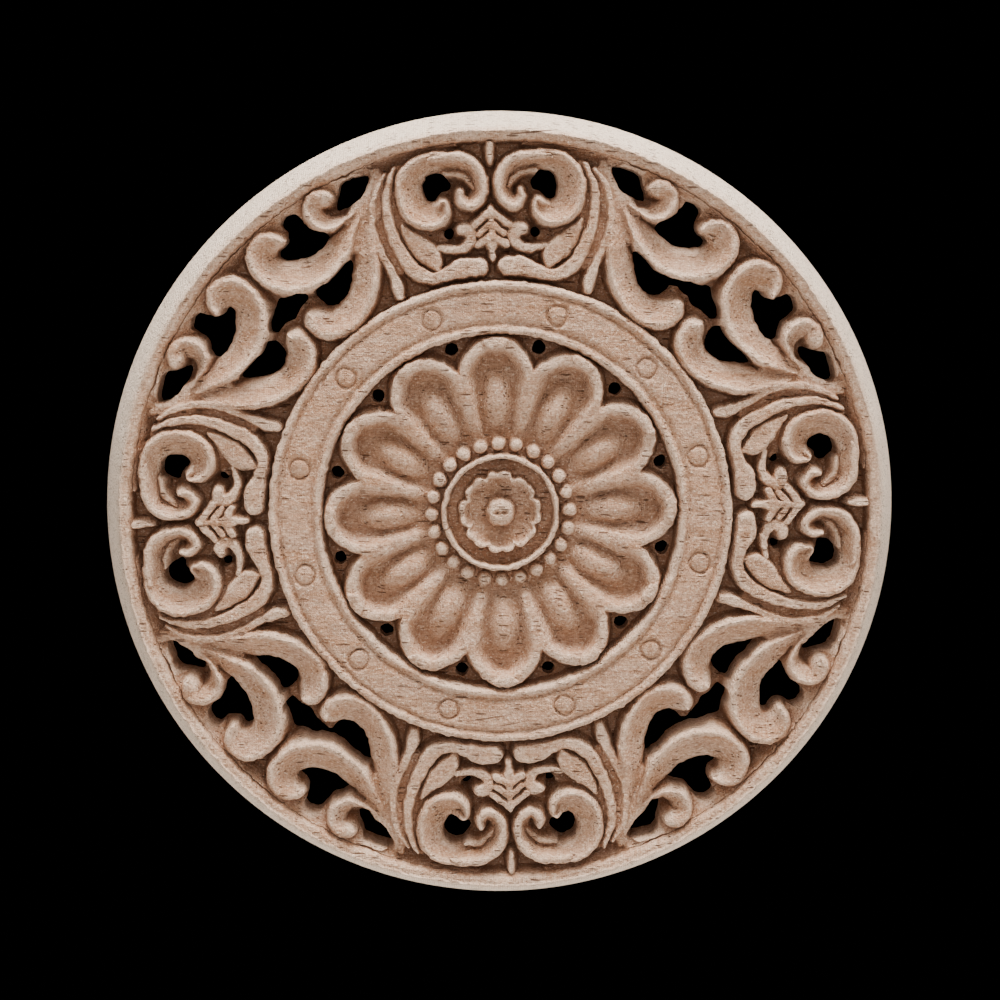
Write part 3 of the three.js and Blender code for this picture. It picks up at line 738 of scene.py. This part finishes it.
border = open_edges(triangles)
border_points = np.unique(border)
on_back = front[border_points, 2] < SNAP
lifted = border_points[~on_back]
below = np.arange(len(front))
below[lifted] = len(front) + np.arange(len(lifted))
vertices = np.vstack([front, front[lifted] * [1, 1, 0]])
start, end = border.T
upper_half = np.stack([end, start, below[start]], 1)
lower_half = np.stack([end, below[start], below[end]], 1)
walls = np.concatenate([upper_half, lower_half])
walls = walls[(walls[:, 0] != walls[:, 2]) & (walls[:, 1] != walls[:, 2])]
print(len(border), "open edges,", int(on_back.sum()), "points of the rim already on the back")


# %% [markdown]
# A triangulation fills the whole disc, holes and all. Only triangles whose centre lies in wood are kept.

# %% The flat back
def inside_border(places, first, second):
    """True where a ray to the right meets the border an odd number of times."""
    x, y = places[:, :1], places[:, 1:]
    crosses = (first[:, 1] > y) != (second[:, 1] > y)
    rise = second[:, 1] - first[:, 1]
    run = np.where(rise == 0, 0, (second[:, 0] - first[:, 0]) / np.where(rise == 0, 1, rise))
    return (crosses & (x < first[:, 0] + (y - first[:, 1]) * run)).sum(1) % 2 == 1


place_of = np.full(len(vertices), -1)
place_of[border_points] = np.arange(len(border_points))
flat_points = [Vector(p) for p in front[border_points, :2]]
flat_links = [tuple(map(int, pair)) for pair in place_of[border]]
filled = delaunay_2d_cdt(flat_points, flat_links, [], 0, 1e-6)
flat_xy = np.array([tuple(v) for v in filled[0]])
flat_faces = np.array(filled[2])
source = np.array([came[0] if came else -1 for came in filled[3]])
added = source < 0
back_index = np.where(added, 0, below[border_points[source]])
back_index[added] = len(vertices) + np.arange(int(added.sum()))
vertices = np.vstack([vertices, np.column_stack([flat_xy[added], np.zeros(int(added.sum()))])])
centres = flat_xy[flat_faces].mean(1)
first, second = front[border[:, 0], :2], front[border[:, 1], :2]
CHUNK = 500
is_wood = np.concatenate([
    inside_border(centres[i:i + CHUNK], first, second) for i in range(0, len(centres), CHUNK)
])
back = back_index[flat_faces[is_wood]][:, ::-1]
print(len(back), "triangles on the back,", int(added.sum()), "points added")


# %% [markdown]
# The drawn disc is stood up: x stays, the drawn y becomes Z, and the height comes forward along -Y. Blender
# takes the arrays as they are. Then Decimate takes points away where the surface is nearly flat, and keeps
# them at the crests and in the creases, so the piece stays light enough to reuse.

# %% The mesh
def mesh_from_arrays(name, points, faces):
    """A mesh whose vertices, corners and loops are copied from whole arrays."""
    mesh = bpy.data.meshes.new(name)
    mesh.vertices.add(len(points))
    mesh.vertices.foreach_set("co", points.astype(np.float32).ravel())
    mesh.loops.add(3 * len(faces))
    mesh.loops.foreach_set("vertex_index", faces.astype(np.int32).ravel())
    mesh.polygons.add(len(faces))
    mesh.polygons.foreach_set("loop_start", np.arange(0, 3 * len(faces), 3, dtype=np.int32))
    mesh.update(calc_edges=True)
    mesh.validate()
    return mesh


def stood_up(points):
    return np.column_stack([points[:, 0] * MM, BACK_Y - points[:, 2] * MM, points[:, 1] * MM])


faces = np.concatenate([triangles, walls, back])
fine = mesh_from_arrays("roundel_fine", stood_up(vertices), faces)
roundel = bpy.data.objects.new("roundel", fine)
bpy.context.scene.collection.objects.link(roundel)
print(len(fine.polygons), "triangles in the fine mesh")

# %% [markdown]
# The modifier is worked out once and its result becomes the piece's own mesh. Its points are then kept within
# the frame's box, because Decimate may push one out by a hair.

# %% Fewer triangles
TRIANGLES_WANTED = 192000
thin = roundel.modifiers.new("fewer triangles", "DECIMATE")
thin.ratio = TRIANGLES_WANTED / len(fine.polygons)
evaluated = roundel.evaluated_get(bpy.context.evaluated_depsgraph_get())
light = bpy.data.meshes.new_from_object(evaluated)
roundel.modifiers.clear()
roundel.data = light
bpy.data.meshes.remove(fine)
light.name = "roundel"
co = np.empty(3 * len(light.vertices), np.float32)
light.vertices.foreach_get("co", co)
co = np.clip(co.reshape(-1, 3), np.array(low), np.array(high))
light.vertices.foreach_set("co", co.astype(np.float32).ravel())
light.update()
light.shade_smooth()
CREASE_ANGLE = math.radians(50)
light.set_sharp_from_angle(angle=CREASE_ANGLE)
print(len(light.polygons), "triangles kept")

# %% [markdown]
# Down in the carving the wood is coloured darker and browner: partly a stain where loose fibres and tool heat
# leave their marks, and partly painted shade in the hollows. Along the crests it is paler, a painted
# highlight.
# To let the material know, each vertex stores how far it lies below the average height around it.

# %% How deep each place lies in its surroundings
CELL = 0.5
BLUR_RADIUS = 3
MARGIN = 4
RECESS_REACH = 5.0
FLAT_BACK = 0.05


def box_blur(grid, cells):
    """Mean over a square window, by differences of running sums, along one axis and then the other."""
    for axis in (0, 1):
        padded = np.pad(grid, [(cells + 1, cells) if k == axis else (0, 0) for k in (0, 1)], mode="edge")
        total = np.cumsum(padded, axis=axis)
        width = 2 * cells + 1
        lead = np.take(total, np.arange(width, total.shape[axis]), axis=axis)
        lag = np.take(total, np.arange(0, total.shape[axis] - width), axis=axis)
        grid = (lead - lag) / width
    return grid


count = int(2 * DRAWN_RADIUS / CELL) + 2 * MARGIN
column = ((front[:, 0] + DRAWN_RADIUS) / CELL + MARGIN).astype(int)
row = ((front[:, 1] + DRAWN_RADIUS) / CELL + MARGIN).astype(int)
total = np.bincount(column * count + row, weights=front[:, 2], minlength=count * count)
weight = np.bincount(column * count + row, minlength=count * count)
mean = np.where(weight > 0, total / np.maximum(weight, 1), 0).reshape(count, count)
around = box_blur(box_blur(mean, BLUR_RADIUS), BLUR_RADIUS)
drawn_height = (BACK_Y - co[:, 1]) / MM
u = np.clip((co[:, 0] / MM + DRAWN_RADIUS) / CELL + MARGIN, 0, count - 1).astype(int)
v = np.clip((co[:, 2] / MM + DRAWN_RADIUS) / CELL + MARGIN, 0, count - 1).astype(int)
recess = np.clip((around[u, v] - drawn_height) / RECESS_REACH, -1, 1)
recess[drawn_height < FLAT_BACK] = 0
attribute = light.attributes.new("recess", "FLOAT", "POINT")
attribute.data.foreach_set("value", recess.astype(np.float32))
print("recess from", round(float(recess.min()), 2), "to", round(float(recess.max()), 2))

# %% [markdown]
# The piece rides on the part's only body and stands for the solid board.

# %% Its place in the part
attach(roundel, "root")
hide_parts(NODE)

# %% [markdown]
# A material is a tree of nodes, and each node takes several lines to add, set and link in code. A small class
# does it in one call, so the material below reads like a list of formulas.

# %% Small helpers for shader nodes
FLOAT, VECTOR = "NodeSocketFloat", "NodeSocketVector"


class Shader:
    """Adds nodes to a tree: each call makes one node, sets its values, links its inputs and returns it."""

    def __init__(self, tree):
        self.tree = tree

    def node(self, kind, inputs=None, **values):
        node = self.tree.nodes.new(kind)
        for name, value in values.items():
            setattr(node, name, value)
        for name, value in (inputs or {}).items():
            if isinstance(value, bpy.types.NodeSocket):
                self.tree.links.new(value, node.inputs[name])
            else:
                node.inputs[name].default_value = value
        return node

    def math(self, operation, a, b=0.0, c=0.0, clamp=False):
        node = self.node("ShaderNodeMath", {0: a, 1: b, 2: c}, operation=operation, use_clamp=clamp)
        return node.outputs[0]

    def vector(self, operation, inputs, output="Vector"):
        return self.node("ShaderNodeVectorMath", inputs, operation=operation).outputs[output]

    def between(self, value, start, end, to_start=0.0, to_end=1.0):
        inputs = {"Value": value, "From Min": start, "From Max": end, "To Min": to_start, "To Max": to_end}
        return self.node("ShaderNodeMapRange", inputs, interpolation_type="SMOOTHSTEP").outputs["Result"]

    def mix(self, factor, a, b):
        return self.node("ShaderNodeMix", {"Factor": factor, 6: a, 7: b}, data_type="RGBA").outputs[2]

    def grouped(self, group, inputs):
        return self.node("ShaderNodeGroup", inputs, node_tree=group).outputs["Mask"]


def mask_group(name, inputs):
    """A shader node group that makes a mask. Its inputs are given as name, socket type and first value."""
    group = bpy.data.node_groups.new(name, "ShaderNodeTree")
    for label, kind, value in inputs:
        socket = group.interface.new_socket(label, in_out="INPUT", socket_type=kind)
        if value is not None:
            socket.default_value = value
    group.interface.new_socket("Mask", in_out="OUTPUT", socket_type=FLOAT)
    given, out = group.nodes.new("NodeGroupInput").outputs, group.nodes.new("NodeGroupOutput").inputs
    return group, Shader(group), given, out


def tone(red, green, blue):
    """A colour as a painter's 0 to 255 values, turned into the linear light that a shader wants."""
    shares = [value / 255 for value in (red, green, blue)]
    return (*[((share + 0.055) / 1.055) ** 2.4 for share in shares], 1.0)


# %% [markdown]
# Rubberwood has short open pores. On a flat face they are dark slits along the grain, and on an end they are
# dots. Both come from one solid pattern: egg-shaped cells, stretched along the grain, which the carved
# surface cuts through. The grain here runs nearly level, so the pattern is stretched along X.

# %% Pores
pores, make, given, out = mask_group("pores", [
    ("Place", VECTOR, None), ("Share", FLOAT, 0.3), ("Size", FLOAT, 0.3),
])
cells = make.node("ShaderNodeTexVoronoi", {"Vector": given["Place"], "Scale": 1.0, "Randomness": 1.0})
chosen = make.node("ShaderNodeSeparateColor", {"Color": cells.outputs["Color"]})
keep = make.math("LESS_THAN", chosen.outputs["Red"], given["Share"])
growth = make.math("ADD", make.math("MULTIPLY", chosen.outputs["Green"], 0.7), 0.4)
size = make.math("MULTIPLY", given["Size"], growth)
core = make.math("SUBTRACT", 1.0, make.math("DIVIDE", cells.outputs["Distance"], size), clamp=True)
soft = make.between(core, 0.0, 0.45)
pores.links.new(make.math("MULTIPLY", soft, keep), out["Mask"])
print(len(pores.nodes), "nodes in the pores")

# %% [markdown]
# A crack is a dark hairline along the grain. Its mask comes from the distance to a short line, worked out
# with the same formula as the distance to a stroke, and one node group serves every crack.

# %% Cracks
cracks, make, given, out = mask_group("crack", [
    ("Place", VECTOR, None), ("Start", VECTOR, None), ("Run", VECTOR, None), ("Half Width", FLOAT, 0.2),
])
from_start = make.vector("SUBTRACT", {0: given["Place"], 1: given["Start"]})
along_run = make.vector("DOT_PRODUCT", {0: from_start, 1: given["Run"]}, "Value")
run_squared = make.vector("DOT_PRODUCT", {0: given["Run"], 1: given["Run"]}, "Value")
share = make.math("DIVIDE", along_run, run_squared, clamp=True)
reach = make.vector("SCALE", {0: given["Run"], "Scale": share})
away = make.vector("DISTANCE", {0: from_start, 1: reach}, "Value")
taper = make.math("SUBTRACT", 1.0, make.math("ABSOLUTE", make.math("MULTIPLY_ADD", share, 2.0, -1.0)))
thickness = make.math("ADD", make.math("MULTIPLY", taper, 0.8), 0.3)
near = make.math("DIVIDE", away, make.math("MULTIPLY", given["Half Width"], thickness))
cracks.links.new(make.between(near, 1.2, 0.4), out["Mask"])
print(len(cracks.nodes), "nodes in a crack")

# %% [markdown]
# The wood's material starts from Object coordinates, turned a little to the grain and stretched along it. A
# crack line is its start, its run and its half width, in drawn millimetres.

# %% Raw rubberwood
CRACK_LINES = [
    ((-16.2, -4.4), (3.8, 1.0), 0.22), ((-10.3, -52.4), (11.5, 1.5), 0.18), ((-2.2, -53.8), (5.7, 0.8), 0.16),
    ((5.0, 93.6), (12.0, 0.8), 0.3),
]
GRAIN_TILT = math.radians(-3)

wood = bpy.data.materials.new("raw_rubberwood")
wood.use_nodes = True
tree = wood.node_tree
tree.nodes.clear()
make = Shader(tree)
place = make.node("ShaderNodeTexCoord").outputs["Object"]


def stretched(along, across, turn=GRAIN_TILT):
    """Object coordinates, turned to the grain, with cells of these sizes in drawn millimetres."""
    turned = make.node("ShaderNodeMapping", {"Vector": place, "Rotation": (0, turn, 0)})
    scale = (1 / (along * MM), 1 / (across * MM), 1 / (across * MM))
    return make.node("ShaderNodeMapping", {"Vector": turned.outputs[0], "Scale": scale}).outputs[0]


long_pores = make.grouped(pores, {"Place": stretched(5.0, 0.6), "Share": 0.26, "Size": 0.42})
short_place = stretched(2.2, 0.45, GRAIN_TILT * 2)
short_pores = make.grouped(pores, {"Place": short_place, "Share": 0.28, "Size": 0.4})
pore = make.math("MAXIMUM", long_pores, make.math("MULTIPLY", short_pores, 0.7))
in_mm = make.vector("MULTIPLY", {0: place, 1: (1 / MM, 0, 1 / MM)})
crack = 0.0
for (cx, cz), (run_x, run_z), half in CRACK_LINES:
    inputs = {"Place": in_mm, "Start": (cx, 0, cz), "Run": (run_x, 0, run_z), "Half Width": half}
    crack = make.math("MAXIMUM", make.grouped(cracks, inputs), crack)
dark_line = make.math("MAXIMUM", pore, crack)
print(len(CRACK_LINES), "cracks")

# %% [markdown]
# Everything uneven in the wood comes from five noises, from broad streaks down to grit. Each has cells of one
# size along the grain and another across it.

# %% Its unevenness
def noise(along, across, detail, roughness):
    inputs = {"Vector": stretched(along, across), "Scale": 1.0, "Detail": detail, "Roughness": roughness}
    return make.node("ShaderNodeTexNoise", inputs).outputs[0]


streaks = noise(38.0, 2.2, 3.0, 0.6)
fibres = noise(5.0, 0.35, 2.0, 0.6)
mottle = noise(9.0, 7.0, 2.0, 0.55)
fuzz = noise(1.3, 0.9, 2.0, 0.6)
grit = noise(0.7, 0.5, 2.0, 0.7)
low_place = make.node("ShaderNodeAttribute", attribute_name="recess").outputs["Fac"]
# Depth below the surroundings plus a little fuzz: it drives the stain and painted shade in the hollows and
# the painted highlight on the crests.
stain_shade_and_highlight_depth = make.math("MULTIPLY_ADD", make.math("SUBTRACT", fuzz, 0.5), 0.5, low_place)
# Distance from the middle, made ragged by fuzz: it places the rim's painted highlight.
from_middle = make.vector("LENGTH", {0: in_mm}, "Value")
rim_highlight_radius = make.math("MULTIPLY_ADD", fuzz, 2.5, from_middle)
print(len(tree.nodes), "nodes so far")

# %% [markdown]
# The colour is laid on in layers over streaky fresh wood. Each layer is a mask from 0 to 1 and a tone: the
# hollows are darker, partly stain and partly painted shade, the rim carries a painted highlight, the crests
# are paler as a painted highlight, and the pores are dark.

# %% Its colour
FRESH, STREAK = tone(208, 170, 142), tone(186, 142, 110)
LAYERS = [
    (make.between(mottle, 0.42, 0.7, 0.0, 0.5), tone(190, 160, 140)),
    (make.between(fibres, 0.35, 0.75, 0.0, 0.7), tone(160, 118, 90)),
    # Darker hollows: partly stain, partly painted shade.
    (make.between(stain_shade_and_highlight_depth, -0.02, 0.4, 0.0, 0.58), tone(144, 96, 66)),
    # Pale rim: a painted highlight all round the rim.
    (make.between(rim_highlight_radius, 95.0, 97.6, 0.0, 0.75), tone(246, 228, 208)),
    # Paler crests: a painted highlight.
    (make.between(stain_shade_and_highlight_depth, -0.06, -0.4, 0.0, 0.55), tone(228, 200, 176)),
    (make.between(grit, 0.5, 0.28, 0.0, 0.7), tone(136, 94, 68)),
    (make.between(grit, 0.54, 0.74, 0.0, 0.7), tone(240, 218, 196)),
    (make.math("MULTIPLY", dark_line, 0.8), tone(82, 48, 30)),
]
colour = make.mix(make.between(streaks, 0.35, 0.68), FRESH, STREAK)
for mask, layer_tone in LAYERS:
    colour = make.mix(mask, colour, layer_tone)
print(len(LAYERS), "layers of colour")

# %% [markdown]
# Fibres, fuzz and grit also stand up from the surface, the long pores are sunk in it, and the cutter left
# fine upright lines, one beside the other. A bump map tilts the light's view of the surface by their slopes.
# It works its height out three times for each ray, so nothing goes into it that wouldn't be seen.

# %% Its surface
TOOL_STEP = 0.56
BUMP_HEIGHT = 0.55
place_x = make.node("ShaderNodeSeparateXYZ", {"Vector": place}).outputs["X"]
wander = make.math("MULTIPLY", fuzz, 3.0)
passes = make.math("SINE", make.math("MULTIPLY_ADD", place_x, math.tau / (TOOL_STEP * MM), wander))
marked = make.between(fibres, 0.4, 0.65, 0.02, 0.12)
relief = make.math("MULTIPLY_ADD", fibres, 0.3, fuzz)
relief = make.math("MULTIPLY_ADD", grit, 0.7, relief)
relief = make.math("MULTIPLY_ADD", passes, marked, relief)
relief = make.math("SUBTRACT", relief, long_pores)
bump = make.node("ShaderNodeBump", {"Height": relief, "Strength": 1.0, "Distance": BUMP_HEIGHT * MM})
rough = make.between(fibres, 0.3, 0.8, 0.78, 0.92)
surface = make.node("ShaderNodeBsdfPrincipled", {
    "Base Color": colour, "Roughness": rough, "Normal": bump.outputs["Normal"], "Specular IOR Level": 0.3,
})
make.node("ShaderNodeOutputMaterial", {"Surface": surface.outputs["BSDF"]})
roundel.data.materials.append(wood)
print(len(tree.nodes), "nodes in the wood")

# %% [markdown]
# The studio is a product photograph's, with the applique on black: a pale floor lies well below, out of the
# picture, and all round is dark.

# %% Floor
FLOOR_SIZE = 2.2
FLOOR_DEPTH = 0.62
half = FLOOR_SIZE / 2
corners = [(-half, -half), (half, -half), (half, half), (-half, half)]
floor_mesh = bpy.data.meshes.new("studio_floor")
floor_mesh.from_pydata([(a, b, -FLOOR_DEPTH) for a, b in corners], [], [(0, 1, 2, 3)])
floor = bpy.data.objects.new("studio_floor", floor_mesh)
bpy.context.scene.collection.objects.link(floor)
paint = bpy.data.materials.new("pale_floor")
paint.use_nodes = True
painted = paint.node_tree.nodes["Principled BSDF"].inputs
painted["Base Color"].default_value = tone(226, 223, 218)
painted["Roughness"].default_value = 0.8
floor_mesh.materials.append(paint)
print("floor", FLOOR_SIZE, "m wide")

# %% [markdown]
# Two large soft boxes above and one in front light the carving. Four more stand just before the plane of the
# board, beside, above and below it, and graze the rim and the crests.

# %% Lights
LAMP_COLOUR = (1.0, 0.97, 0.93)
world = bpy.data.worlds.new("dark_studio")
bpy.context.scene.world = world
world.use_nodes = True
world.node_tree.nodes["Background"].inputs["Strength"].default_value = 0.0


def soft_box(name, where, size, power):
    """A square, slightly warm area light that looks at the middle of the roundel."""
    data = bpy.data.lights.new(name, "AREA")
    data.size, data.energy, data.color = size, power, LAMP_COLOUR
    lamp = bpy.data.objects.new(name, data)
    lamp.location = where
    lamp.rotation_euler = (-Vector(where)).to_track_quat("-Z", "Y").to_euler()
    bpy.context.scene.collection.objects.link(lamp)


soft_box("key_above_right", (0.42, -0.5, 1.0), 0.6, 7.5)
soft_box("key_above_left", (-0.5, -0.5, 0.95), 0.6, 6.0)
soft_box("front_fill", (0.0, -1.3, 0.1), 0.9, 6.0)
soft_box("edge_above", (0.1, -0.18, 1.0), 0.4, 25.0)
soft_box("edge_right", (1.0, -0.18, 0.1), 0.5, 5.0)
soft_box("edge_left", (-1.0, -0.18, 0.1), 0.5, 3.0)
soft_box("edge_below", (0.0, -0.16, -0.5), 0.4, 1.2)
print(len(bpy.data.lights), "lights")

# %% [markdown]
# The camera stands where the photographer's did: slightly above the middle and a touch to the left, with a
# long lens. The picture is turned a little, because the roundel was laid down a little turned.

# %% Camera
CAMERA_DISTANCE = 0.6378
ELEVATION, AZIMUTH, ROLL = math.radians(6.47), math.radians(0.68), math.radians(1.75)
PICTURE_DROP = 7.33 / 1000
turn = Matrix.Rotation(ROLL, 3, "Y")
away = turn @ Vector((
    -math.sin(AZIMUTH) * math.cos(ELEVATION),
    -math.cos(AZIMUTH) * math.cos(ELEVATION),
    math.sin(ELEVATION),
))
up = turn @ Vector((0, 0, 1))
right = up.cross(away).normalized()
true_up = away.cross(right)
camera_data = bpy.data.cameras.new("camera")
camera_data.lens, camera_data.sensor_width = 90, 36
camera_data.shift_y = PICTURE_DROP
camera = bpy.data.objects.new("camera", camera_data)
facing = Matrix((right, true_up, away)).transposed().to_4x4()
camera.matrix_world = Matrix.Translation(away * CAMERA_DISTANCE) @ facing
bpy.context.scene.collection.objects.link(camera)
bpy.context.scene.camera = camera
print("camera at", [round(c, 4) for c in camera.location])

# %% [markdown]
# Last, the scene is brought up to date.

# %% The end
bpy.context.view_layer.update()
